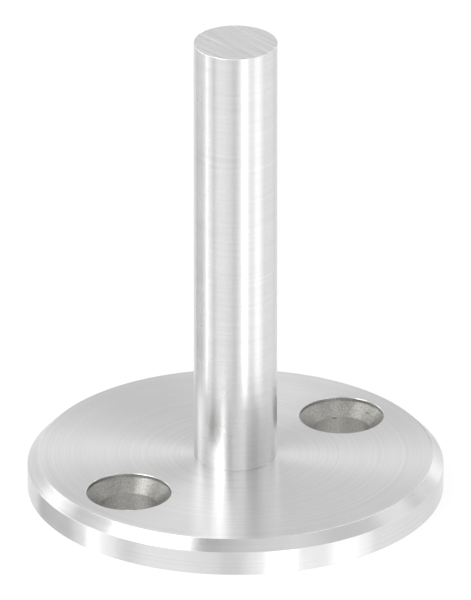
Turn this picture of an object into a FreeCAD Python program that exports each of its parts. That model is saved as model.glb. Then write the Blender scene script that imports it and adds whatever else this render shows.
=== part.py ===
import FreeCAD, Part
import os

import Sketcher

# Handrail support: a round plate that is screwed down, with a round stem in its middle that carries the rail.
# Millimetres. The origin is the centre of the underside, +Z runs up the stem and the screw holes lie along X.

document = FreeCAD.newDocument("HandrailSupport")

# Driving sizes. A length is in millimetres and an angle in degrees.
sizes = {
    "plateDiameter": 60.0,
    "plateThickness": 5.0,
    "rimChamfer": 1.5,
    "topEdgeBreak": 0.15,
    "rimEdgeBreak": 0.03,
    "screwHoles": 2,
    "screwSpacing": 40.0,
    "screwBore": 8.6,
    "sinkDiameter": 12.2,
    "sinkLip": 0.52,
    "sinkAngle": 90.0,
    "mouthBreak": 0.08,
    "boreDeburr": 0.1,
    "stemDiameter": 12.0,
    "stemReach": 65.0,
    "stemEdgeBreak": 0.05,
    "shoulderBreak": 0.05,
    "spigotDiameter": 10.0,
    "socketClearance": 0.05,
    "weldLeg": 1.6,
    "weldSetback": 0.2,
}
closeEnough = 1e-4

sheet = document.addObject("Spreadsheet::Sheet", "Sizes")
for row, (alias, number) in enumerate(sizes.items(), start=1):
    sheet.set(f"A{row}", alias)
    sheet.set(f"B{row}", str(number))
    sheet.setAlias(f"B{row}", alias)
document.recompute()

# Places that more than one piece uses, worked out from the driving sizes
plateRadius = sizes["plateDiameter"] / 2
plateTop = sizes["plateThickness"]
shoulderHeight = plateTop - sizes["rimChamfer"]
topFaceRadius = plateRadius - sizes["rimChamfer"]
sinkRadius = sizes["sinkDiameter"] / 2
boreRadius = sizes["screwBore"] / 2
stemRadius = sizes["stemDiameter"] / 2
spigotRadius = sizes["spigotDiameter"] / 2
socketRadius = spigotRadius + sizes["socketClearance"]
weldLeg = sizes["weldLeg"]
weldFace = sizes["weldSetback"]

# A sketch counts the ends of a line and the middle of a circle up from 1, and its own axes down from -1
startPoint, endPoint, centrePoint = range(1, 4)
acrossAxis, upAxis = range(-1, -3, -1)
origin = (acrossAxis, startPoint)


def onSheet(formula):
    # Puts the sheet's name before each alias
    return " ".join(f"Sizes.{word}" if word in sizes else word for word in formula.split())


def originFeature(body, role):
    return next(feature for feature in body.Origin.OriginFeatures if feature.Role == role)


def newSketch(body, name, plane):
    sketch = body.newObject("Sketcher::SketchObject", name)
    sketch.AttachmentSupport = [(originFeature(body, plane), "")]
    sketch.MapMode = "FlatFace"
    return sketch


def drawOutline(sketch, corners):
    # One straight line from each corner to the next, joined end to start all the way round
    for number, corner in enumerate(corners):
        following = corners[(number + 1) % len(corners)]
        sketch.addGeometry(Part.LineSegment(FreeCAD.Vector(*corner, 0), FreeCAD.Vector(*following, 0)), False)
    for number in range(len(corners)):
        following = (number + 1) % len(corners)
        sketch.addConstraint(Sketcher.Constraint("Coincident", number, endPoint, following, startPoint))


def dimension(sketch, name, formula, kind, *ends):
    # A named dimension: it starts at the size that was drawn, and from then on follows the sheet
    if kind == "Diameter":
        drawn = 2 * sketch.Geometry[ends[0]].Radius
    else:
        span = sketch.getPoint(*ends[2:]) - sketch.getPoint(*ends[:2])
        drawn = span.x if kind == "DistanceX" else span.y
    index = sketch.addConstraint(Sketcher.Constraint(kind, *ends, drawn))
    sketch.renameConstraint(index, name)
    sketch.setExpression(f"Constraints.{name}", onSheet(formula))


def follow(feature, **formulas):
    for name, formula in formulas.items():
        feature.setExpression(name, onSheet(formula))


def revolve(body, name, section):
    turned = body.newObject("PartDesign::Revolution", name)
    turned.Profile = section
    turned.ReferenceAxis = (originFeature(body, "Z_Axis"), [""])
    turned.Angle = 360
    document.recompute()
    return turned


def circlesAt(feature, *rings):
    # Names of the feature's round edges, each ring given as its radius and its height
    found = []
    for number, edge in enumerate(feature.Shape.Edges, start=1):
        curve = edge.Curve
        if not isinstance(curve, Part.Circle):
            continue
        for radius, height in rings:
            if abs(curve.Radius - radius) < closeEnough and abs(curve.Center.z - height) < closeEnough:
                found.append(f"Edge{number}")
    return found


def breakEdges(body, kind, name, base, rings, formula):
    # A fillet or chamfer on round edges
    edges = circlesAt(base, *rings)
    if not edges:
        raise ValueError(f"{name}: no such edges")
    broken = body.newObject(f"PartDesign::{kind}", name)
    broken.Base = (base, edges)
    follow(broken, **{"Radius" if kind == "Fillet" else "Size": formula})
    document.recompute()
    return broken


def makeBasePlate():
    # A turned disc: chamfered upper edge, socket through the middle, bevel for the weld round its lower end
    body = document.addObject("PartDesign::Body", "base_plate")
    section = newSketch(body, "plateSection", "XZ_Plane")
    drawOutline(section, [
        (socketRadius + weldLeg, 0),
        (plateRadius, 0),
        (plateRadius, shoulderHeight),
        (topFaceRadius, plateTop),
        (socketRadius, plateTop),
        (socketRadius, weldLeg),
    ])
    underside, rim, topFace, socketWall = 0, 1, 3, 4
    section.addConstraint([
        Sketcher.Constraint("Horizontal", underside),
        Sketcher.Constraint("Vertical", rim),
        Sketcher.Constraint("Horizontal", topFace),
        Sketcher.Constraint("Vertical", socketWall),
        Sketcher.Constraint("PointOnObject", underside, startPoint, acrossAxis),
    ])
    dimension(section, "radius", "plateDiameter / 2", "DistanceX", *origin, rim, startPoint)
    dimension(section, "thickness", "plateThickness", "DistanceY", *origin, topFace, startPoint)
    dimension(section, "chamferWidth", "rimChamfer", "DistanceX", topFace, startPoint, rim, endPoint)
    dimension(section, "chamferHeight", "rimChamfer", "DistanceY", rim, endPoint, topFace, startPoint)
    dimension(section, "socket", "spigotDiameter / 2 + socketClearance", "DistanceX",
              *origin, socketWall, startPoint)
    dimension(section, "bevelWidth", "weldLeg", "DistanceX", socketWall, endPoint, underside, startPoint)
    dimension(section, "bevelHeight", "weldLeg", "DistanceY", underside, startPoint, socketWall, endPoint)
    disc = revolve(body, "disc", section)

    # One countersunk screw hole from the top face, then the rest round the stem
    spot = newSketch(body, "screwSpot", "XY_Plane")
    follow(spot, **{".AttachmentOffset.Base.z": "plateThickness"})
    middle = FreeCAD.Vector(sizes["screwSpacing"] / 2, 0, 0)
    spot.addGeometry(Part.Circle(middle, FreeCAD.Vector(0, 0, 1), boreRadius), False)
    spot.addConstraint(Sketcher.Constraint("PointOnObject", 0, centrePoint, acrossAxis))
    dimension(spot, "offset", "screwSpacing / 2", "DistanceX", *origin, 0, centrePoint)
    dimension(spot, "bore", "screwBore", "Diameter", 0)
    document.recompute()
    screwHole = body.newObject("PartDesign::Hole", "screwHole")
    screwHole.Profile = spot
    document.recompute()
    screwHole.DepthType = "ThroughAll"
    screwHole.HoleCutType = "Counterdrill"
    screwHole.HoleCutCustomValues = True
    follow(screwHole, Diameter="screwBore", HoleCutDiameter="sinkDiameter", HoleCutDepth="sinkLip",
           HoleCutCountersinkAngle="sinkAngle")
    document.recompute()
    screwCircle = body.newObject("PartDesign::PolarPattern", "screwCircle")
    screwCircle.Originals = [screwHole]
    screwCircle.Axis = (originFeature(body, "Z_Axis"), [""])
    screwCircle.Angle = 360
    follow(screwCircle, Occurrences="screwHoles")
    body.Tip = screwCircle
    document.recompute()
    if not screwCircle.Shape.Volume < screwHole.Shape.Volume < disc.Shape.Volume:
        raise ValueError("a screw hole cuts nothing")

    # The outer edges in view are rounded, the mouths and the edges that lie against something are bevelled
    smoothTop = breakEdges(body, "Fillet", "topFaceEdge", screwCircle, [(topFaceRadius, plateTop)],
                           "topEdgeBreak")
    smoothRim = breakEdges(body, "Fillet", "rimEdge", smoothTop, [(plateRadius, shoulderHeight)],
                           "rimEdgeBreak")
    sinkMouths = breakEdges(body, "Chamfer", "sinkMouths", smoothRim, [(sinkRadius, plateTop)], "mouthBreak")
    bevelledRim = breakEdges(body, "Chamfer", "lowerRim", sinkMouths, [(plateRadius, 0)], "rimEdgeBreak")
    socketMouth = breakEdges(body, "Chamfer", "socketMouth", bevelledRim, [(socketRadius, plateTop)],
                             "mouthBreak")
    breakEdges(body, "Chamfer", "boreExits", socketMouth, [(boreRadius, 0)], "boreDeburr")
    return body


def makeStem():
    # A turned bar. Its shoulder stands on the plate, and the spigot under it goes down the socket and stops
    # just short of the underside, bevelled for the weld. Its own origin is the middle of the shoulder.
    body = document.addObject("PartDesign::Body", "stem")
    follow(body, **{".Placement.Base.z": "plateThickness"})
    section = newSketch(body, "stemSection", "XZ_Plane")
    drawOutline(section, [
        (0, weldFace - plateTop),
        (spigotRadius - weldLeg + weldFace, weldFace - plateTop),
        (spigotRadius, weldLeg - plateTop),
        (spigotRadius, 0),
        (stemRadius, 0),
        (stemRadius, sizes["stemReach"]),
        (0, sizes["stemReach"]),
    ])
    lowerEnd, bevel, spigotWall, shoulder, wall, upperEnd, middle = range(7)
    section.addConstraint([
        Sketcher.Constraint("Horizontal", lowerEnd),
        Sketcher.Constraint("Vertical", spigotWall),
        Sketcher.Constraint("PointOnObject", shoulder, startPoint, acrossAxis),
        Sketcher.Constraint("PointOnObject", shoulder, endPoint, acrossAxis),
        Sketcher.Constraint("Vertical", wall),
        Sketcher.Constraint("Horizontal", upperEnd),
        Sketcher.Constraint("PointOnObject", middle, startPoint, upAxis),
        Sketcher.Constraint("PointOnObject", middle, endPoint, upAxis),
    ])
    dimension(section, "reach", "stemReach", "DistanceY", *origin, upperEnd, startPoint)
    dimension(section, "radius", "stemDiameter / 2", "DistanceX", *origin, wall, startPoint)
    dimension(section, "spigot", "spigotDiameter / 2", "DistanceX", *origin, shoulder, startPoint)
    dimension(section, "depth", "plateThickness - weldSetback", "DistanceY", lowerEnd, startPoint, *origin)
    for name, kind in (("bevelWidth", "DistanceX"), ("bevelHeight", "DistanceY")):
        dimension(section, name, "weldLeg - weldSetback", kind, bevel, startPoint, bevel, endPoint)
    bar = revolve(body, "bar", section)
    rounded = breakEdges(body, "Fillet", "topEdge", bar, [(stemRadius, sizes["stemReach"])], "stemEdgeBreak")
    breakEdges(body, "Chamfer", "shoulderEdge", rounded, [(stemRadius, 0)], "shoulderBreak")
    return body


def makeBackWeld():
    # Weld metal that fills the groove between the two bevels, ground back to the end of the spigot
    body = document.addObject("PartDesign::Body", "back_weld")
    section = newSketch(body, "weldSection", "XZ_Plane")
    drawOutline(section, [
        (socketRadius + weldLeg - weldFace, weldFace),
        (socketRadius, weldLeg),
        (spigotRadius, weldLeg),
        (spigotRadius - weldLeg + weldFace, weldFace),
    ])
    plateBevel, root, spigotBevel, groundFace = 0, 1, 2, 3
    section.addConstraint([
        Sketcher.Constraint("Horizontal", root),
        Sketcher.Constraint("Horizontal", groundFace),
    ])
    dimension(section, "faceHeight", "weldSetback", "DistanceY", *origin, groundFace, startPoint)
    dimension(section, "rootHeight", "weldLeg", "DistanceY", *origin, root, startPoint)
    dimension(section, "socket", "spigotDiameter / 2 + socketClearance", "DistanceX",
              *origin, root, startPoint)
    dimension(section, "spigot", "spigotDiameter / 2", "DistanceX", *origin, root, endPoint)
    dimension(section, "plateSide", "weldLeg - weldSetback", "DistanceX",
              root, startPoint, plateBevel, startPoint)
    dimension(section, "spigotSide", "weldLeg - weldSetback", "DistanceX",
              spigotBevel, endPoint, root, endPoint)
    revolve(body, "weldRing", section)
    return body


def writePieces(bodies):
    document.recompute()
    failed = [piece.Name for piece in document.Objects if {"Invalid", "Error"} & set(piece.State)]
    if failed:
        raise ValueError("failed: " + ", ".join(failed))
    os.makedirs("parts", exist_ok=True)
    for body in bodies:
        shape = body.Shape
        if shape.isNull() or not shape.isValid() or len(shape.Solids) != 1:
            raise ValueError(f"{body.Label}: not one valid solid")
        shape.exportStep(f"parts/{body.Label}.step")
        box = shape.BoundBox
        print(f"{body.Label}: {shape.Volume:.1f} mm3, z {box.ZMin:.2f} to {box.ZMax:.2f}")


writePieces([makeBasePlate(), makeStem(), makeBackWeld()])
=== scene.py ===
# Handrail support: a turned round plate with two countersunk screw holes and a brushed round stem.
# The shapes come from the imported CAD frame. This script gives them their finish, the light and the camera.
import math
import bpy
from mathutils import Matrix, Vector


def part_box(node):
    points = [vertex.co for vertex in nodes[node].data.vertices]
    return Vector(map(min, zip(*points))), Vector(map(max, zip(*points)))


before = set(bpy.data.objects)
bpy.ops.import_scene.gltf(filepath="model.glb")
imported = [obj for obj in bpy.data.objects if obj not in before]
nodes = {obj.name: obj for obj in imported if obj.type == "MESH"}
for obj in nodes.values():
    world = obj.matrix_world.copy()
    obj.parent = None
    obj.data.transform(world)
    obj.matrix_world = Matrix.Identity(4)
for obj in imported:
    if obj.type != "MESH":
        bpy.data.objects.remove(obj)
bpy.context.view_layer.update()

mm = 0.001


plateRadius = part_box("base_plate")[1][0]
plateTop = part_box("base_plate")[1][2]
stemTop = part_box("stem")[1][2]
stemRadius = 6.0 * mm
chamferWidth = 1.5 * mm
holeCentre = 20.0 * mm
holeMouth = 6.1 * mm
holeBore = 4.3 * mm
print("frame loaded")

# A long lens far away draws the object almost in parallel, as the photograph does.
cameraLook = {
    "azimuth": -40.0,        # degrees, 0 looks along +Y
    "elevation": 25.0,
    "lens": 1300.0,          # mm
    "sensorWidth": 36.0,     # mm
    "distance": 3.114,       # m from the aim
    "aimHeight": 29.4 * mm,
    "clipStart": 0.05,
    "clipEnd": 20.0,
}


def directionFrom(azimuth, elevation):
    # unit vector from the object towards a place round it
    turn, rise = math.radians(azimuth), math.radians(elevation)
    return Vector((math.sin(turn) * math.cos(rise), -math.cos(turn) * math.cos(rise), math.sin(rise)))


def standRound(thing, azimuth, elevation, distance):
    # puts a camera, lamp or card at a place round the object, facing it
    away = directionFrom(azimuth, elevation)
    thing.location = Vector((0, 0, cameraLook["aimHeight"])) + away * distance
    thing.rotation_euler = away.to_track_quat("Z", "Y").to_euler()


def makeCamera(look):
    data = bpy.data.cameras.new("photoCamera")
    camera = bpy.data.objects.new("photoCamera", data)
    bpy.context.scene.collection.objects.link(camera)
    standRound(camera, look["azimuth"], look["elevation"], look["distance"])
    data.lens = look["lens"]
    data.sensor_width = look["sensorWidth"]
    data.clip_start = look["clipStart"]
    data.clip_end = look["clipEnd"]
    bpy.context.scene.camera = camera


makeCamera(cameraLook)
print("camera set")


def feed(tree, socket, value):
    # a link where the value comes from another node, or else a plain value
    if isinstance(value, bpy.types.NodeSocket):
        tree.links.new(value, socket)
    else:
        socket.default_value = value


def addNode(tree, kind, values=None, **settings):
    node = tree.nodes.new(kind)
    for name, value in settings.items():
        setattr(node, name, value)
    for name, value in (values or {}).items():
        feed(tree, node.inputs[name], value)
    return node


def calc(tree, operation, first, second=0.0, third=0.0):
    return addNode(tree, "ShaderNodeMath", {0: first, 1: second, 2: third}, operation=operation).outputs[0]


def vectorCalc(tree, operation, first, second=(0.0, 0.0, 0.0)):
    return addNode(tree, "ShaderNodeVectorMath", {0: first, 1: second}, operation=operation).outputs[0]


def scaled(tree, vector, factor):
    return addNode(tree, "ShaderNodeVectorMath", {0: vector, "Scale": factor}, operation="SCALE").outputs[0]


def lengthOf(tree, vector):
    return addNode(tree, "ShaderNodeVectorMath", {0: vector}, operation="LENGTH").outputs["Value"]


def distanceTo(tree, place, centre):
    values = {0: place, 1: centre}
    return addNode(tree, "ShaderNodeVectorMath", values, operation="DISTANCE").outputs["Value"]


def partsOf(tree, vector):
    return addNode(tree, "ShaderNodeSeparateXYZ", {0: vector}).outputs


def joined(tree, first, second, third):
    return addNode(tree, "ShaderNodeCombineXYZ", {0: first, 1: second, 2: third}).outputs[0]


def ramp(tree, value, fromLow, fromHigh, toLow=0.0, toHigh=1.0, interpolation="SMOOTHSTEP"):
    values = {"Value": value, "From Min": fromLow, "From Max": fromHigh, "To Min": toLow, "To Max": toHigh}
    return addNode(tree, "ShaderNodeMapRange", values, interpolation_type=interpolation).outputs["Result"]


def between(tree, mask, atZero, atOne):
    # a number that goes evenly from one value to another as a mask goes from 0 to 1
    return ramp(tree, mask, 0.0, 1.0, atZero, atOne, "LINEAR")


def opaque(colour):
    # a plain colour gets its alpha, and a link passes as it is
    return colour if isinstance(colour, bpy.types.NodeSocket) else (*colour, 1.0)


# the two inputs and the output of a Mix node for each kind of value
mixSockets = {"FLOAT": (2, 3, 0), "VECTOR": (4, 5, 1), "RGBA": (6, 7, 2)}


def mixed(tree, kind, factor, first, second):
    low, high, result = mixSockets[kind]
    values = {0: factor, low: first, high: second}
    return addNode(tree, "ShaderNodeMix", values, data_type=kind).outputs[result]


def blend(tree, factor, first, second):
    return mixed(tree, "RGBA", factor, opaque(first), opaque(second))


def noiseOf(tree, place, scale, detail, roughness=0.5, lacunarity=2.0):
    values = {"Vector": place, "Scale": scale, "Detail": detail, "Roughness": roughness,
              "Lacunarity": lacunarity}
    return addNode(tree, "ShaderNodeTexNoise", values).outputs[0]


floatKind, vectorKind, colourKind = "NodeSocketFloat", "NodeSocketVector", "NodeSocketColor"


def makeGroup(name, inputs, outputs):
    # an effect with named inputs and outputs, built once and placed in each material with its own values
    tree = bpy.data.node_groups.new(name, "ShaderNodeTree")
    for label, kind, default in inputs:
        socket = tree.interface.new_socket(label, in_out="INPUT", socket_type=kind)
        if default is not None:
            socket.default_value = default
    for label, kind in outputs:
        tree.interface.new_socket(label, in_out="OUTPUT", socket_type=kind)
    return tree, tree.nodes.new("NodeGroupInput").outputs, tree.nodes.new("NodeGroupOutput").inputs


def placeGroup(tree, group, values):
    return addNode(tree, "ShaderNodeGroup", values, node_tree=group).outputs


# Both kinds of lines come from a stretched noise with many fine steps.
lineNoise = {
    "scale": 0.5,
    "detail": 3.0,
    "roughness": 0.9,
    "lacunarity": 1.6,
}
shadeMiddle = 0.5            # noise shades lie round this value
shadeReach = 0.2             # and mostly within this reach of it
shadeLow, shadeHigh = shadeMiddle - shadeReach, shadeMiddle + shadeReach
# Where the turned lines are weakest and strongest, and where an edge band is least and most strong; the band
# marks worn edges and the painted light at the seam. Each pair of shades is the span over which the effect
# changes.
lineFade = {
    "shades": (0.35, 0.65),
    "strengths": (0.8, 1.2),
}
wearAndSeamLight = {
    "shades": (0.3, 0.6),
    "amounts": (0.4, 1.0),
}
cloudRoughness = 0.55


def turnedLinesGroup():
    # rings left by the lathe and the belt: they change fast across, slowly along their way round the axis
    tree, given, made = makeGroup(
        "turnedLines",
        [("Place", vectorKind, None), ("Lines per metre", floatKind, 3500.0),
         ("Changes around", floatKind, 0.5), ("Fades per metre", floatKind, 220.0)],
        [("Height", floatKind), ("Shade", floatKind)])
    parts = partsOf(tree, given["Place"])
    flat = joined(tree, parts[0], parts[1], 0.0)
    across = calc(tree, "SUBTRACT", lengthOf(tree, flat), parts[2])
    turn = partsOf(tree, scaled(tree, vectorCalc(tree, "NORMALIZE", flat), given["Changes around"]))
    way = joined(tree, turn[0], turn[1], calc(tree, "MULTIPLY", across, given["Lines per metre"]))
    fine = noiseOf(tree, way, **lineNoise)
    feed(tree, made["Height"], fine)
    fade = noiseOf(tree, given["Place"], given["Fades per metre"], 1.0)
    strength = ramp(tree, fade, *lineFade["shades"], *lineFade["strengths"])
    centred = calc(tree, "SUBTRACT", fine, shadeMiddle)
    feed(tree, made["Shade"], calc(tree, "MULTIPLY_ADD", centred, strength, shadeMiddle))
    return tree


def straightLinesGroup():
    # scratches of a belt that ran along one direction, here along Y
    tree, given, made = makeGroup(
        "straightLines",
        [("Place", vectorKind, None), ("Lines per metre", floatKind, 3500.0),
         ("Changes along", floatKind, 90.0)],
        [("Height", floatKind), ("Shade", floatKind)])
    scale = joined(tree, given["Lines per metre"], given["Changes along"], given["Changes along"])
    fine = noiseOf(tree, vectorCalc(tree, "MULTIPLY", given["Place"], scale), **lineNoise)
    feed(tree, made["Height"], fine)
    feed(tree, made["Shade"], fine)
    return tree


def edgeBandGroup():
    # 1 on a round edge of the part and 0 a little away from it, broken up unevenly; it marks worn edges, and
    # the painted light at the seam round the stem's foot
    tree, given, made = makeGroup(
        "edgeBand",
        [("Place", vectorKind, None), ("Radius", floatKind, 0.03), ("Level", floatKind, 0.005),
         ("Reach", floatKind, 0.0003), ("Wear and seam light per metre", floatKind, 400.0)],
        [("Mask", floatKind)])
    parts = partsOf(tree, given["Place"])
    radius = lengthOf(tree, joined(tree, parts[0], parts[1], 0.0))
    spot = joined(tree, radius, parts[2], 0.0)
    ring = joined(tree, given["Radius"], given["Level"], 0.0)
    near = ramp(tree, distanceTo(tree, spot, ring), given["Reach"], 0.0)
    wearAndSeamLightNoise = noiseOf(tree, given["Place"], given["Wear and seam light per metre"], 2.0)
    amount = ramp(tree, wearAndSeamLightNoise, *wearAndSeamLight["shades"], *wearAndSeamLight["amounts"])
    feed(tree, made["Mask"], calc(tree, "MULTIPLY", near, amount))
    return tree


def cloudGroup():
    # soft uneven patches, as handling and polishing leave on a bare metal surface
    tree, given, made = makeGroup(
        "cloud",
        [("Place", vectorKind, None), ("Patches per metre", floatKind, 150.0), ("Detail", floatKind, 3.0)],
        [("Shade", floatKind)])
    patches = noiseOf(tree, given["Place"], given["Patches per metre"], given["Detail"], cloudRoughness)
    feed(tree, made["Shade"], patches)
    return tree


def tonedGroup():
    # a colour made lighter or darker, by the whole amount where the shade is high or low
    tree, given, made = makeGroup(
        "toned", [("Colour", colourKind, None), ("Shade", floatKind, 0.5), ("Amount", floatKind, 0.02)],
        [("Colour", colourKind)])
    centred = calc(tree, "SUBTRACT", given["Shade"], shadeMiddle)
    share = calc(tree, "MULTIPLY", centred, 1 / shadeReach)
    factor = calc(tree, "MULTIPLY_ADD", share, given["Amount"], 1.0)
    feed(tree, made["Colour"], scaled(tree, given["Colour"], factor))
    return tree


turnedLines = turnedLinesGroup()
straightLines = straightLinesGroup()
edgeBand = edgeBandGroup()
cloud = cloudGroup()
toned = tonedGroup()


def patchesOf(tree, place, perMetre, detail=3.0):
    values = {"Place": place, "Patches per metre": perMetre, "Detail": detail}
    return placeGroup(tree, cloud, values)["Shade"]


def edgeOf(tree, place, radius, level, reach):
    values = {"Place": place, "Radius": radius, "Level": level, "Reach": reach}
    return placeGroup(tree, edgeBand, values)["Mask"]


def tonedBy(tree, colour, shade, amount):
    return placeGroup(tree, toned, {"Colour": colour, "Shade": shade, "Amount": amount})["Colour"]


def variedBy(tree, value, shade, amount):
    # a number that a shade moves up and down by at most the amount
    return calc(tree, "ADD", value, ramp(tree, shade, shadeLow, shadeHigh, -amount, amount, "LINEAR"))


def aroundAxis(tree, place):
    # the direction round the axis at each point
    return vectorCalc(tree, "CROSS_PRODUCT", (0.0, 0.0, 1.0), place)


alongY = (0.0, 0.01, 0.0)    # the direction of straight lines
quarterTurn = 0.25           # turns the stretch of the highlights across the lines


def startTree(owner):
    owner.use_nodes = True
    owner.node_tree.nodes.clear()
    return owner.node_tree


def startMetal(name, anisotropic):
    # a bare metal, with its stretch of the highlights set as plain numbers
    material = bpy.data.materials.new(name)
    tree = startTree(material)
    shader = addNode(tree, "ShaderNodeBsdfPrincipled")
    shader.inputs["Metallic"].default_value = 1.0
    shader.inputs["Anisotropic"].default_value = anisotropic
    shader.inputs["Anisotropic Rotation"].default_value = quarterTurn
    output = addNode(tree, "ShaderNodeOutputMaterial")
    tree.links.new(shader.outputs[0], output.inputs[0])
    place = addNode(tree, "ShaderNodeTexCoord").outputs["Object"]
    return material, tree, shader, place


plateFinish = {
    "steel": (0.627, 0.627, 0.627),
    "sideSteel": (0.607, 0.607, 0.607),
    "edgeSteel": (0.64, 0.64, 0.64),
    "edgeReach": 0.3 * mm,
    # painted light: the seam round the stem's foot gets a lighter steel, against the shade in that groove
    "seamPaintedLight": (0.70, 0.70, 0.70),
    "seamPaintedLightReach": 0.12 * mm,
    "topLineContrast": 0.064,
    "sideLineContrast": 0.031,
    "patchContrast": 0.012,
    "patchesPerMetre": 120.0,
    "topSpeckle": 0.03,
    "sideSpeckle": 0.01,
    "topRoughness": 0.31,
    "sideRoughness": 0.25,
    "lineRoughness": 0.012,  # how far the lines and the patches move the roughness
    "patchRoughness": 0.01,
    "anisotropic": 0.78,
    "linesPerMetre": 6200.0,
    "lineDepth": 0.0006 * mm,
}
# The countersinks were milled, and are duller than the turned faces.
holeFinish = {
    "cone": (0.343, 0.338, 0.32),
    "bore": (0.41, 0.404, 0.383),
    # painted shade: the short straight wall under each mouth gets a darker colour
    "paintedLipShade": (0.30, 0.296, 0.28),
    "paintedShadeTone": 0.88,        # the countersink on the -X side is painted darker: painted shade that evens out the extra lamp light it gets
    "coneGrain": 0.2,
    "boreGrain": 0.13,
    "roughness": 0.46,
    "boreRoughness": 0.66,
    "grainsPerMetre": 4400.0,
    "grainDepth": 0.03 * mm,
    "pits": [(21.85, 3.9, 2.58), (25.2, 0.32, 3.66)],    # mm, in one of the countersinks
    "pitSize": 0.5 * mm,
    "pitCore": 0.3,          # share of the size that is dark all through
    "pitSquash": 3.4,        # how much longer than tall a pit is
    "pitRagged": 0.6 * mm,
    "pitSteel": (0.16, 0.15, 0.14),
}
# Where the finishes of the plate's faces begin and end, measured from the edges between them.
faceMargins = {
    "pastMouth": 0.03 * mm,
    "underTopFace": 0.09 * mm,
    "overUnderside": 0.01 * mm,
    # where the painted shade on the straight wall under each mouth begins and ends
    "paintedLipShade": (0.06 * mm, 0.02 * mm),
    "bore": (0.06 * mm, 0.01 * mm),
    "topFace": (0.05 * mm, 0.01 * mm),
    "middle": 1.0 * mm,      # the painted shade of the -X countersink fades in within this much on each side of the middle
}


def insideHoles(tree, parts, distance):
    # the walls of the screw holes: within the mouths, between the top face and the underside
    inMouth = calc(tree, "LESS_THAN", distance, holeMouth + faceMargins["pastMouth"])
    belowTop = calc(tree, "LESS_THAN", parts[2], plateTop - faceMargins["underTopFace"])
    aboveUnderside = calc(tree, "GREATER_THAN", parts[2], faceMargins["overUnderside"])
    return calc(tree, "MULTIPLY", calc(tree, "MULTIPLY", inMouth, belowTop), aboveUnderside)


def addPits(tree, place, wall, grain, holes):
    squash = holes["pitSquash"]
    squashed = vectorCalc(tree, "MULTIPLY", place, (1.0, 1.0, squash))
    for east, north, up in holes["pits"]:
        spot = distanceTo(tree, squashed, (east * mm, north * mm, up * squash * mm))
        centred = calc(tree, "SUBTRACT", grain, shadeMiddle)
        ragged = calc(tree, "MULTIPLY_ADD", centred, holes["pitRagged"], spot)
        pit = ramp(tree, ragged, holes["pitSize"], holes["pitCore"] * holes["pitSize"])
        wall = blend(tree, pit, wall, holes["pitSteel"])
    return wall


def holeWallColour(tree, place, parts, distance, onBore, grain, holes):
    # painted shade: a darker band on the straight wall just inside each mouth
    outer, inner = faceMargins["paintedLipShade"]
    onPaintedLipShade = ramp(tree, distance, holeMouth - outer, holeMouth - inner)
    wall = blend(tree, onPaintedLipShade, holes["cone"], holes["paintedLipShade"])
    wall = blend(tree, onBore, wall, holes["bore"])
    wall = tonedBy(tree, wall, grain, between(tree, onBore, holes["coneGrain"], holes["boreGrain"]))
    # painted shade: the countersink on the -X side is darkened against the extra lamp light it gets
    middle = faceMargins["middle"]
    wall = scaled(tree, wall, ramp(tree, parts[0], -middle, middle, holes["paintedShadeTone"], 1.0))
    return addPits(tree, place, wall, grain, holes)


def turnedColour(tree, place, onTop, lines, patches, grain, finish):
    # the turned faces, a little brighter where an edge is worn, and painted lighter at the seam round the
    # stem's foot: painted light against the shade in that groove
    edge = edgeOf(tree, place, plateRadius - chamferWidth, plateTop, finish["edgeReach"])
    paintedSeamLight = edgeOf(tree, place, stemRadius, plateTop, finish["seamPaintedLightReach"])
    steel = blend(tree, onTop, finish["sideSteel"], finish["steel"])
    steel = blend(tree, edge, steel, finish["edgeSteel"])
    steel = blend(tree, paintedSeamLight, steel, finish["seamPaintedLight"])
    contrast = between(tree, onTop, finish["sideLineContrast"], finish["topLineContrast"])
    steel = tonedBy(tree, steel, lines["Shade"], contrast)
    steel = tonedBy(tree, steel, patches, finish["patchContrast"])
    return tonedBy(tree, steel, grain, between(tree, onTop, finish["sideSpeckle"], finish["topSpeckle"]))


def plateTangent(tree, place, parts, inHole):
    # the lines run round the axis, and in a screw hole round its own axis
    side = calc(tree, "SIGN", parts[0])
    holeAxis = joined(tree, calc(tree, "MULTIPLY", side, holeCentre), 0.0, 0.0)
    fromHole = vectorCalc(tree, "SUBTRACT", place, holeAxis)
    return mixed(tree, "VECTOR", inHole, aroundAxis(tree, place), aroundAxis(tree, fromHole))


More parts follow.
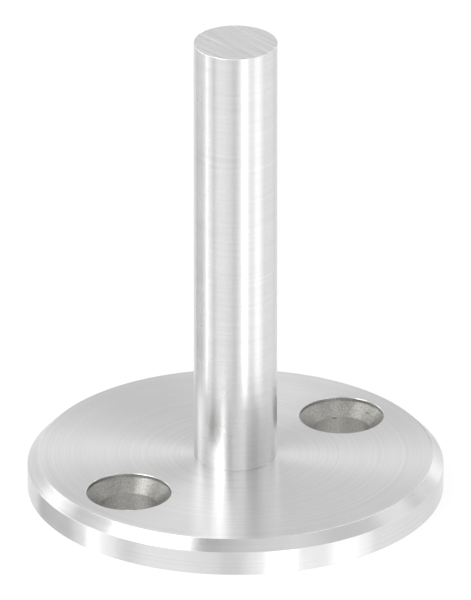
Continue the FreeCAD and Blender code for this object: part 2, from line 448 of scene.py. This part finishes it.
def turnedPlateMaterial(finish, holes):
    material, tree, shader, place = startMetal("turnedPlate", finish["anisotropic"])
    lines = placeGroup(tree, turnedLines, {"Place": place, "Lines per metre": finish["linesPerMetre"]})
    patches = patchesOf(tree, place, finish["patchesPerMetre"])
    grain = patchesOf(tree, place, holes["grainsPerMetre"], 1.0)
    parts = partsOf(tree, place)
    # both screw holes are measured at once, with the -X side folded over to +X
    folded = joined(tree, calc(tree, "ABSOLUTE", parts[0]), parts[1], 0.0)
    distance = distanceTo(tree, folded, (holeCentre, 0.0, 0.0))
    inHole = insideHoles(tree, parts, distance)
    outer, inner = faceMargins["bore"]
    onBore = ramp(tree, distance, holeBore + outer, holeBore + inner)
    lower, upper = faceMargins["topFace"]
    onTop = ramp(tree, parts[2], plateTop - lower, plateTop - upper)
    wall = holeWallColour(tree, place, parts, distance, onBore, grain, holes)
    steel = turnedColour(tree, place, onTop, lines, patches, grain, finish)
    feed(tree, shader.inputs["Base Color"], blend(tree, inHole, steel, wall))
    roughness = between(tree, onTop, finish["sideRoughness"], finish["topRoughness"])
    roughness = variedBy(tree, roughness, lines["Shade"], finish["lineRoughness"])
    roughness = variedBy(tree, roughness, patches, finish["patchRoughness"])
    wallRoughness = between(tree, onBore, holes["roughness"], holes["boreRoughness"])
    feed(tree, shader.inputs["Roughness"], mixed(tree, "FLOAT", inHole, roughness, wallRoughness))
    depth = mixed(tree, "FLOAT", inHole, finish["lineDepth"], holes["grainDepth"])
    relief = mixed(tree, "FLOAT", inHole, lines["Height"], grain)
    height = calc(tree, "MULTIPLY", relief, depth)
    bump = addNode(tree, "ShaderNodeBump", {"Height": height, "Distance": 1.0})
    feed(tree, shader.inputs["Normal"], bump.outputs[0])
    feed(tree, shader.inputs["Tangent"], plateTangent(tree, place, parts, inHole))
    return material


stemFinish = {
    "steel": (0.6, 0.6, 0.6),
    "endSteel": (0.685, 0.685, 0.685),
    "edgeSteel": (0.70, 0.70, 0.70),
    "edgeReach": 0.25 * mm,
    "seamPaintedLight": (0.70, 0.70, 0.70),
    # painted light: the seam round the stem's foot gets a lighter steel, against the shade in that groove
    "seamPaintedLightReach": 0.12 * mm,
    "lineContrast": 0.037,
    "endContrast": 0.16,
    "patchContrast": 0.012,
    "patchesPerMetre": 160.0,
    "speckle": 0.012,
    "grainsPerMetre": 4500.0,
    "roughness": 0.27,
    "patchRoughness": 0.008,
    "anisotropic": 0.68,
    "linesPerMetre": 4500.0,
    "endLinesPerMetre": 3800.0,
    "lineDepth": 0.0006 * mm,
    "endMargin": (0.03 * mm, 0.005 * mm),    # below the cut end, where its finish takes over
}


def brushedStemMaterial(finish):
    material, tree, shader, place = startMetal("brushedStem", finish["anisotropic"])
    side = placeGroup(tree, turnedLines, {"Place": place, "Lines per metre": finish["linesPerMetre"]})
    end = placeGroup(tree, straightLines, {"Place": place, "Lines per metre": finish["endLinesPerMetre"]})
    patches = patchesOf(tree, place, finish["patchesPerMetre"])
    grain = patchesOf(tree, place, finish["grainsPerMetre"], 1.0)
    lower, upper = finish["endMargin"]
    onTop = ramp(tree, partsOf(tree, place)[2], stemTop - lower, stemTop - upper)
    edge = edgeOf(tree, place, stemRadius, stemTop, finish["edgeReach"])
    # painted light: the seam at the stem's foot is made lighter, against the shade in that groove
    paintedSeamLight = edgeOf(tree, place, stemRadius, plateTop, finish["seamPaintedLightReach"])
    steel = blend(tree, onTop, finish["steel"], finish["endSteel"])
    steel = blend(tree, edge, steel, finish["edgeSteel"])
    steel = blend(tree, paintedSeamLight, steel, finish["seamPaintedLight"])
    contrast = between(tree, onTop, finish["lineContrast"], finish["endContrast"])
    steel = tonedBy(tree, steel, mixed(tree, "FLOAT", onTop, side["Shade"], end["Shade"]), contrast)
    steel = tonedBy(tree, steel, patches, finish["patchContrast"])
    steel = tonedBy(tree, steel, grain, finish["speckle"])
    feed(tree, shader.inputs["Base Color"], steel)
    roughness = variedBy(tree, finish["roughness"], patches, finish["patchRoughness"])
    feed(tree, shader.inputs["Roughness"], roughness)
    relief = mixed(tree, "FLOAT", onTop, side["Height"], end["Height"])
    bump = addNode(tree, "ShaderNodeBump", {"Height": relief, "Distance": finish["lineDepth"]})
    feed(tree, shader.inputs["Normal"], bump.outputs[0])
    feed(tree, shader.inputs["Tangent"], mixed(tree, "VECTOR", onTop, aroundAxis(tree, place), alongY))
    return material


# The weld on the underside was ground flat after welding, and keeps a warm tint in patches.
weldFinish = {
    "steel": (0.50, 0.495, 0.48),
    "heatSteel": (0.60, 0.57, 0.52),
    "heatPatchesPerMetre": 500.0,
    "heatShades": (0.35, 0.65),
    "lineContrast": 0.05,
    "roughness": 0.42,
    "lineRoughness": 0.05,
    "anisotropic": 0.6,
    "linesPerMetre": 4000.0,
    "changesAlong": 300.0,
    "lineDepth": 0.002 * mm,
}


def groundWeldMaterial(finish):
    material, tree, shader, place = startMetal("groundWeld", finish["anisotropic"])
    lines = placeGroup(tree, straightLines, {"Place": place, "Lines per metre": finish["linesPerMetre"],
                                             "Changes along": finish["changesAlong"]})
    patches = patchesOf(tree, place, finish["heatPatchesPerMetre"])
    heat = ramp(tree, patches, *finish["heatShades"])
    steel = blend(tree, heat, finish["steel"], finish["heatSteel"])
    feed(tree, shader.inputs["Base Color"], tonedBy(tree, steel, lines["Shade"], finish["lineContrast"]))
    roughness = variedBy(tree, finish["roughness"], lines["Shade"], finish["lineRoughness"])
    feed(tree, shader.inputs["Roughness"], roughness)
    bump = addNode(tree, "ShaderNodeBump", {"Height": lines["Height"], "Distance": finish["lineDepth"]})
    feed(tree, shader.inputs["Normal"], bump.outputs[0])
    feed(tree, shader.inputs["Tangent"], alongY)
    return material


def dress(name, material):
    for slot in nodes[name].material_slots:
        slot.material = material


dress("base_plate", turnedPlateMaterial(plateFinish, holeFinish))
dress("stem", brushedStemMaterial(stemFinish))
dress("back_weld", groundWeldMaterial(weldFinish))
print("finishes made")

studio = {
    "floorSize": 12.0,
    "floorDrop": 0.02 * mm,  # the floor lies this far below the underside
    "floorColour": (0.95, 0.95, 0.95),
    "floorWhite": 0.9,       # share of plain white that the camera sees in place of the lit floor
    "fill": 0.68,            # level of the white surroundings for everything that isn't shiny
    "lampDistance": 2.5,
    "cardDistance": 2.2,
}
white = (1.0, 1.0, 1.0)


def whiteRays(tree):
    # 1 for what the camera and shiny surfaces see
    path = addNode(tree, "ShaderNodeLightPath").outputs
    seen = calc(tree, "MAXIMUM", path["Is Camera Ray"], path["Is Glossy Ray"])
    return calc(tree, "MAXIMUM", seen, path["Is Transmission Ray"])


def addPlane(name, size):
    bpy.ops.object.select_all(action="DESELECT")
    bpy.ops.mesh.primitive_plane_add(size=size)
    plane = bpy.context.object
    plane.name = name
    return plane


def glow(tree, strength):
    return addNode(tree, "ShaderNodeEmission", {"Color": opaque(white), "Strength": strength})


def makeFloor(values):
    floor = addPlane("studioFloor", values["floorSize"])
    floor.location = (0, 0, -values["floorDrop"])
    material = bpy.data.materials.new("paleFloor")
    tree = startTree(material)
    lit = addNode(tree, "ShaderNodeBsdfDiffuse", {"Color": opaque(values["floorColour"])})
    share = calc(tree, "MULTIPLY", whiteRays(tree), values["floorWhite"])
    mix = addNode(tree, "ShaderNodeMixShader", {0: share})
    tree.links.new(lit.outputs[0], mix.inputs[1])
    tree.links.new(glow(tree, 1.0).outputs[0], mix.inputs[2])
    output = addNode(tree, "ShaderNodeOutputMaterial")
    tree.links.new(mix.outputs[0], output.inputs[0])
    floor.data.materials.append(material)
    # the metal sees the white surroundings and the low lamps in place of the floor
    floor.visible_glossy = False
    floor.visible_shadow = False


def makeSurroundings(values):
    world = bpy.data.worlds.new("whiteStudio")
    tree = startTree(world)
    strength = between(tree, whiteRays(tree), values["fill"], 1.0)
    background = addNode(tree, "ShaderNodeBackground", {"Color": opaque(white), "Strength": strength})
    output = addNode(tree, "ShaderNodeOutputWorld")
    tree.links.new(background.outputs[0], output.inputs[0])
    world.cycles.sampling_method = "NONE"
    bpy.context.scene.world = world


# Each lamp is a soft rectangle that faces the object: where it stands, how wide and tall it looks from
# there, in degrees, and how much it adds to the white behind it. Azimuth 0 is the camera's side, and
# positive azimuths are to the right of it.
lamps = {
    "keyLeft": {"azimuth": -42, "elevation": 26, "width": 31, "height": 56, "level": 1.0},
    "overBack": {"azimuth": -167, "elevation": 62, "width": 9, "height": 23, "level": 1.55},
    "leftEdge": {"azimuth": -96, "elevation": 2, "width": 64, "height": 35, "level": 1.85},
    "leftStrip": {"azimuth": -79, "elevation": -41, "width": 19, "height": 45, "level": 0.58},
    "frontStrip": {"azimuth": 25, "elevation": -20, "width": 35, "height": 92, "level": 0.37},
    "frontUpper": {"azimuth": 11, "elevation": 36, "width": 32, "height": 36, "level": 1.05},
    "rightStrip": {"azimuth": 63, "elevation": -35, "width": 33, "height": 31, "level": 0.5},
    "rightBroad": {"azimuth": 96, "elevation": 5, "width": 61, "height": 55, "level": 0.52},
    "backLeft": {"azimuth": -171, "elevation": 21, "width": 8, "height": 11, "level": 1.35},
    "backRight": {"azimuth": 158, "elevation": 16, "width": 36, "height": 27, "level": 0.55},
    "overNarrow": {"azimuth": -146, "elevation": 61, "width": 47, "height": 19, "level": 1.5},
    "highLeft": {"azimuth": -49, "elevation": 48, "width": 23, "height": 25, "level": 2.25},
    "frontCore": {"azimuth": 26, "elevation": -31, "width": 13, "height": 16, "level": 2.3},
    "rightCore": {"azimuth": 63, "elevation": -28, "width": 15, "height": 13, "level": 0.8},
    "leftCore": {"azimuth": -88, "elevation": -32, "width": 6, "height": 15, "level": 1.9},
    "rightHigh": {"azimuth": 64, "elevation": 58, "width": 24, "height": 9, "level": 0.8},
    "highFarLeft": {"azimuth": -58, "elevation": 43, "width": 40, "height": 36, "level": 2.0},
    "lowLeft": {"azimuth": -32, "elevation": 8, "width": 49, "height": 110, "level": 0.22},
    "leftPeak": {"azimuth": -113, "elevation": 6, "width": 19, "height": 35, "level": 1.5},
    "rightTop": {"azimuth": 133, "elevation": 57, "width": 20, "height": 31, "level": 1.5},
    "frontHigh": {"azimuth": 26, "elevation": 56, "width": 23, "height": 5, "level": 0.5},
}
# Grey cards stand in front of the white surroundings. Only shiny surfaces see them.
cards = {
    "leftGap": {"azimuth": -71, "elevation": -8, "width": 27, "height": 15, "level": 0.05},
    "backLeftGap": {"azimuth": -121, "elevation": -32, "width": 35, "height": 19, "level": 0.39},
    "backGap": {"azimuth": 175, "elevation": 8, "width": 28, "height": 26, "level": 0.05},
    "topGap": {"azimuth": 36, "elevation": 73, "width": 86, "height": 25, "level": 0.45},
    "rightGap": {"azimuth": 123, "elevation": 32, "width": 12, "height": 26, "level": 0.75},
    "leftHighGap": {"azimuth": -89, "elevation": 31, "width": 35, "height": 10, "level": 0.36},
    "frontLowGap": {"azimuth": -5, "elevation": -7, "width": 32, "height": 13, "level": 0.62},
}


def standAt(thing, values, distance):
    # as standRound, with the azimuth counted from the camera's side
    standRound(thing, cameraLook["azimuth"] + values["azimuth"], values["elevation"], distance)


def spanAt(degrees, distance):
    # how wide a thing is that spans an angle at a distance
    return 2 * distance * math.tan(math.radians(degrees / 2))


def makeLamp(name, values):
    distance = studio["lampDistance"]
    data = bpy.data.lights.new(name, "AREA")
    data.shape = "RECTANGLE"
    data.size = spanAt(values["width"], distance)
    data.size_y = spanAt(values["height"], distance)
    data.energy = values["level"] * math.pi * data.size * data.size_y
    lamp = bpy.data.objects.new(name, data)
    bpy.context.scene.collection.objects.link(lamp)
    standAt(lamp, values, distance)
    lamp.visible_camera = False


def makeCard(name, values):
    distance = studio["cardDistance"]
    card = addPlane(name, 1.0)
    card.scale = (spanAt(values["width"], distance), spanAt(values["height"], distance), 1.0)
    standAt(card, values, distance)
    material = bpy.data.materials.new(name)
    tree = startTree(material)
    output = addNode(tree, "ShaderNodeOutputMaterial")
    tree.links.new(glow(tree, values["level"]).outputs[0], output.inputs[0])
    card.data.materials.append(material)
    card.visible_camera = False
    card.visible_diffuse = False
    card.visible_shadow = False
    card.visible_transmission = False


makeFloor(studio)
makeSurroundings(studio)
for lampName, lampValues in lamps.items():
    makeLamp(lampName, lampValues)
for cardName, cardValues in cards.items():
    makeCard(cardName, cardValues)
bpy.context.scene.view_settings.view_transform = "Standard"
print("studio lit")
